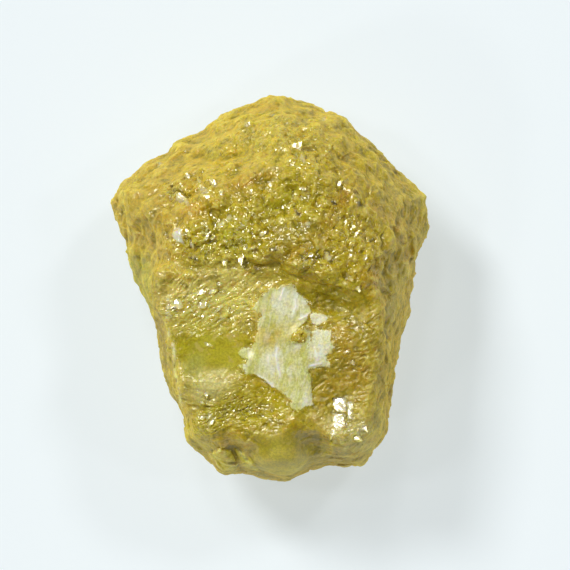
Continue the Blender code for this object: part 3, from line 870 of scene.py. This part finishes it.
def body_colour(nodes, place, grit, colours):
    """The stone's tint, mottled olive and amber, with pale flecks along the grain that are partly painted
    glints, painted glint veins, painted shade in hollows and creases, painted light on crests, and steep
    faces painted warmer.
    """
    tint = nodes.attribute("tint", "Color")
    mottle = nodes.noise(place, 3.4, 5.0, 0.70)
    colour = nodes.mix(nodes.remap(mottle, 0.48, 0.66, 0.0, 0.80), tint, colours.olive)
    colour = nodes.mix(nodes.remap(mottle, 0.48, 0.32, 0.0, 0.42), colour, colours.gold_pale)
    stains = nodes.noise(nodes.turned(place, 22, (4.0, 7.0, 7.0)), 1.0, 4.0, 0.68)
    colour = nodes.mix(nodes.remap(stains, 0.52, 0.68, 0.0, 0.45), colour, colours.amber)
    colour = nodes.mix(nodes.math("MULTIPLY", nodes.attribute("glassy"), 0.8), colour, tint)
    proud = nodes.attribute("stands_proud")
    striae = nodes.attribute("striae")
    facing = nodes.attribute("facing")
    # Painted shade in the hollows, less on the striae and on steep faces.
    hollow = nodes.remap(striae, 0.0, 1.0, 0.75, 0.20)
    hollow = nodes.math("MULTIPLY", hollow, nodes.remap(facing, 0.0, 1.0, 0.45, 1.0))
    hollow = nodes.math("MULTIPLY", nodes.remap(proud, 0.0, -0.045), hollow)
    colour = nodes.mix(hollow, colour, colours.olive)
    # Painted light: paler on the crests that stand proud.
    colour = nodes.mix(nodes.remap(proud, 0.004, 0.035, 0.0, 0.42), colour, colours.gold_pale)
    shade = nodes.remap(grit, 0.36, 0.64, 0.84, 1.16)
    colour = nodes.add("ShaderNodeVectorMath", {0: colour, "Scale": shade}, operation="SCALE").outputs[0]
    dusty = nodes.remap(nodes.noise(place, 5.5, 3.0, 0.55), 0.56, 0.66, 0.0, 0.50)
    colour = nodes.mix(dusty, colour, colours.dust)
    blobs = nodes.noise(place, 3.2, 1.0, 0.5)
    flank = nodes.remap(facing, 1.0, 0.0)
    pale_blobs = nodes.math("MULTIPLY", nodes.remap(blobs, 0.54, 0.66, 0.0, 0.30), flank)
    deep_blobs = nodes.math("MULTIPLY", nodes.remap(blobs, 0.46, 0.34, 0.0, 0.30), flank)
    colour = nodes.mix(pale_blobs, colour, colours.dust)
    colour = nodes.mix(deep_blobs, colour, colours.olive)
    # Pale frosted strokes, partly painted glints, thicker where the clusters crowd.
    strokes = nodes.noise(nodes.turned(place, 30, (6.0, 14.0, 14.0)), 1.0, 3.0, 0.68, 0.4)
    strokes = nodes.math("ADD", strokes, nodes.math("MULTIPLY", nodes.attribute("flecks"), 0.10))
    strokes = nodes.math("ADD", strokes, nodes.math("MULTIPLY", striae, 0.06))
    colour = nodes.mix(nodes.remap(strokes, 0.66, 0.76, 0.0, 0.80), colour, colours.fleck_and_glint)
    # Painted glints: thin bright veins where the clusters crowd.
    bend = nodes.math("ABSOLUTE", nodes.math("SUBTRACT", nodes.noise(place, 6.0, 3.0, 0.6, 0.8), 0.5))
    veins = nodes.math("MULTIPLY", nodes.remap(bend, 0.026, 0.006), nodes.remap(mottle, 0.44, 0.54))
    veins = nodes.math("MULTIPLY", veins, nodes.remap(nodes.attribute("flecks"), 0.35, 0.85, 0.0, 0.85))
    colour = nodes.mix(veins, colour, colours.painted_glint_vein)
    # Painted shade in the fine creases.
    dark = nodes.remap(nodes.attribute("crevice"), -0.004, -0.014, 0.0, 0.25)
    dark = nodes.math("MULTIPLY", dark, facing)
    dark = nodes.math("MULTIPLY", dark, nodes.remap(striae, 0.0, 1.0, 1.0, 0.3))
    colour = nodes.mix(nodes.math("MULTIPLY", dark, nodes.attribute("grain")), colour, colours.crease_shade)
    # Steep faces painted warmer, to hide the grey reflection of sky and floor on them.
    warmed = {0: colour, 1: (1.05, 0.99, 0.25)}
    warm = nodes.add("ShaderNodeVectorMath", warmed, operation="MULTIPLY").outputs[0]
    return nodes.mix(nodes.math("MULTIPLY", nodes.attribute("steep"), 0.85), colour, warm)


def flake_share(nodes, place):
    """1 on the pale flake, with its edge broken up."""
    ragged = nodes.noise(place, 11.0, 5.0, 0.75)
    ragged = nodes.math("MULTIPLY", nodes.math("SUBTRACT", ragged, 0.5), 0.26)
    return nodes.remap(nodes.math("ADD", nodes.attribute("flake_edge"), ragged), 0.014, -0.022)


def flake_colour(nodes, place, grit, colours):
    """Cream with whiter fibres and streaks, and a fine grain."""
    fibre = nodes.noise(nodes.turned(place, -12, (11.0, 2.4, 9.0)), 1.0, 4.0, 0.65, 0.8)
    white = nodes.math("ADD", fibre, nodes.math("MULTIPLY", nodes.attribute("flake_white"), 0.16))
    colour = nodes.mix(nodes.remap(white, 0.38, 0.66), colours.cream, colours.frost)
    colour = nodes.mix(nodes.remap(white, 0.60, 0.78, 0.0, 0.8), colour, colours.fibre)
    shade = nodes.remap(grit, 0.36, 0.64, 0.84, 1.10)
    colour = nodes.add("ShaderNodeVectorMath", {0: colour, "Scale": shade}, operation="SCALE").outputs[0]
    specks = nodes.remap(nodes.noise(place, 9.0, 2.0, 0.5), 0.70, 0.74, 0.0, 0.5)
    colour = nodes.mix(specks, colour, colours.olive)
    return nodes.mix(nodes.attribute("flake_streak"), colour, colours.streak)


class DIAMOND_OT_stone(bpy.types.Operator):
    """Builds the rough diamond on the frame's solid"""

    bl_idname = "diamond.stone"
    bl_label = "Rough Diamond"

    def execute(self, context):
        shape = context.scene.stone_shape
        colours = context.scene.stone_colours
        stone = copy_stone()
        refine_skin(stone, shape)
        shape_relief(stone, shape)
        paint_stone(stone, colours)
        stone.data.materials.clear()
        stone.data.materials.append(crystal_material(colours))
        stone.scale = (MM, MM, MM)
        select_only(stone)
        bpy.ops.object.transform_apply(location=False, rotation=False, scale=True)
        shade_facets(stone)
        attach(stone, "root")
        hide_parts(NODE)
        return {"FINISHED"}


def add_sun(name, compass, elevation, strength, spread):
    """A far lamp in the direction given by its compass angle from +X and its height, in degrees."""
    light = bpy.data.lights.new(name, "SUN")
    light.energy = strength
    light.angle = math.radians(spread)
    lamp = bpy.data.objects.new(name, light)
    lamp.rotation_euler = (0.0, math.radians(90 - elevation), math.radians(compass))
    bpy.context.scene.collection.objects.link(lamp)


class DIAMOND_OT_studio(bpy.types.Operator):
    """Adds the floor, the lights, the sky and the camera"""

    bl_idname = "diamond.studio"
    bl_label = "Studio"

    def execute(self, context):
        studio = context.scene.studio_values
        bpy.ops.object.select_all(action="DESELECT")
        bpy.ops.mesh.primitive_plane_add(size=3.0, location=(0.0, 0.0, -0.02 * MM))
        floor = context.object
        floor.name = "studio_floor"
        floor.data.materials.append(floor_material(studio))
        for number, (compass, elevation, share, spread) in enumerate(SOFT_BOXES):
            add_sun("soft_box_%d" % number, compass, elevation, studio.key * share, spread)
        add_sky(context.scene, studio)
        add_camera(context.scene, studio)
        context.scene.view_settings.view_transform = "Standard"
        return {"FINISHED"}


def floor_material(studio):
    material = bpy.data.materials.new("studio_floor")
    nodes = Nodes(material)
    nodes.shader.inputs["Base Color"].default_value = (*studio.floor, 1.0)
    nodes.shader.inputs["Emission Color"].default_value = (*studio.floor_glow, 1.0)
    nodes.shader.inputs["Emission Strength"].default_value = 1.0
    nodes.shader.inputs["Roughness"].default_value = 0.9
    nodes.shader.inputs["Specular IOR Level"].default_value = 0.1
    return material


def add_sky(scene, studio):
    """Soft light from all round, bright at the sides and dim straight above, as in a light tent."""
    world = bpy.data.worlds.new("light_tent")
    scene.world = world
    world.use_nodes = True
    tree = world.node_tree
    direction = tree.nodes.new("ShaderNodeTexCoord").outputs["Generated"]
    split = tree.nodes.new("ShaderNodeSeparateXYZ")
    tree.links.new(direction, split.inputs[0])
    ramp = tree.nodes.new("ShaderNodeValToRGB")
    ramp.color_ramp.elements[0].position = 0.32
    ramp.color_ramp.elements[0].color = (1.0, 0.97, 0.86, 1.0)
    ramp.color_ramp.elements[1].position = 0.75
    ramp.color_ramp.elements[1].color = (0.03, 0.035, 0.035, 1.0)
    tree.links.new(split.outputs["Z"], ramp.inputs[0])
    background = tree.nodes["Background"]
    tree.links.new(ramp.outputs[0], background.inputs["Color"])
    background.inputs["Strength"].default_value = studio.sky


def add_camera(scene, studio):
    """A long lens straight above the stone, a little right of its middle."""
    distance = 0.25
    girdle = 2.0 * MM
    camera = bpy.data.cameras.new("camera")
    camera.sensor_width = 36.0
    camera.lens = camera.sensor_width * distance / (studio.view_width * MM)
    camera.clip_start = 0.01
    camera.clip_end = 5.0
    eye = bpy.data.objects.new("camera", camera)
    eye.location = (0.31 * MM, 0.07 * MM, girdle + distance)
    scene.collection.objects.link(eye)
    scene.camera = eye


class DIAMOND_PT_panel(bpy.types.Panel):
    """Lists the stone's sizes and colours, and the buttons that build it"""

    bl_label = "Rough Diamond"
    bl_idname = "DIAMOND_PT_panel"
    bl_space_type = "VIEW_3D"
    bl_region_type = "UI"
    bl_category = "Diamond"

    def draw(self, context):
        for group in (context.scene.stone_shape, context.scene.stone_colours, context.scene.studio_values):
            box = self.layout.box()
            for name in group.__annotations__:
                box.prop(group, name)
        self.layout.operator(DIAMOND_OT_stone.bl_idname)
        self.layout.operator(DIAMOND_OT_studio.bl_idname)


CLASSES = (
    StoneShape, StoneColours, StudioValues, DIAMOND_OT_stone, DIAMOND_OT_studio, DIAMOND_PT_panel,
)


def register():
    for item in CLASSES:
        bpy.utils.register_class(item)
    bpy.types.Scene.stone_shape = PointerProperty(type=StoneShape)
    bpy.types.Scene.stone_colours = PointerProperty(type=StoneColours)
    bpy.types.Scene.studio_values = PointerProperty(type=StudioValues)


def unregister():
    del bpy.types.Scene.stone_shape
    del bpy.types.Scene.stone_colours
    del bpy.types.Scene.studio_values
    for item in reversed(CLASSES):
        bpy.utils.unregister_class(item)


def main():
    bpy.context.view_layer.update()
    register()
    bpy.ops.diamond.stone()
    bpy.ops.diamond.studio()


if __name__ == "__main__":
    main()
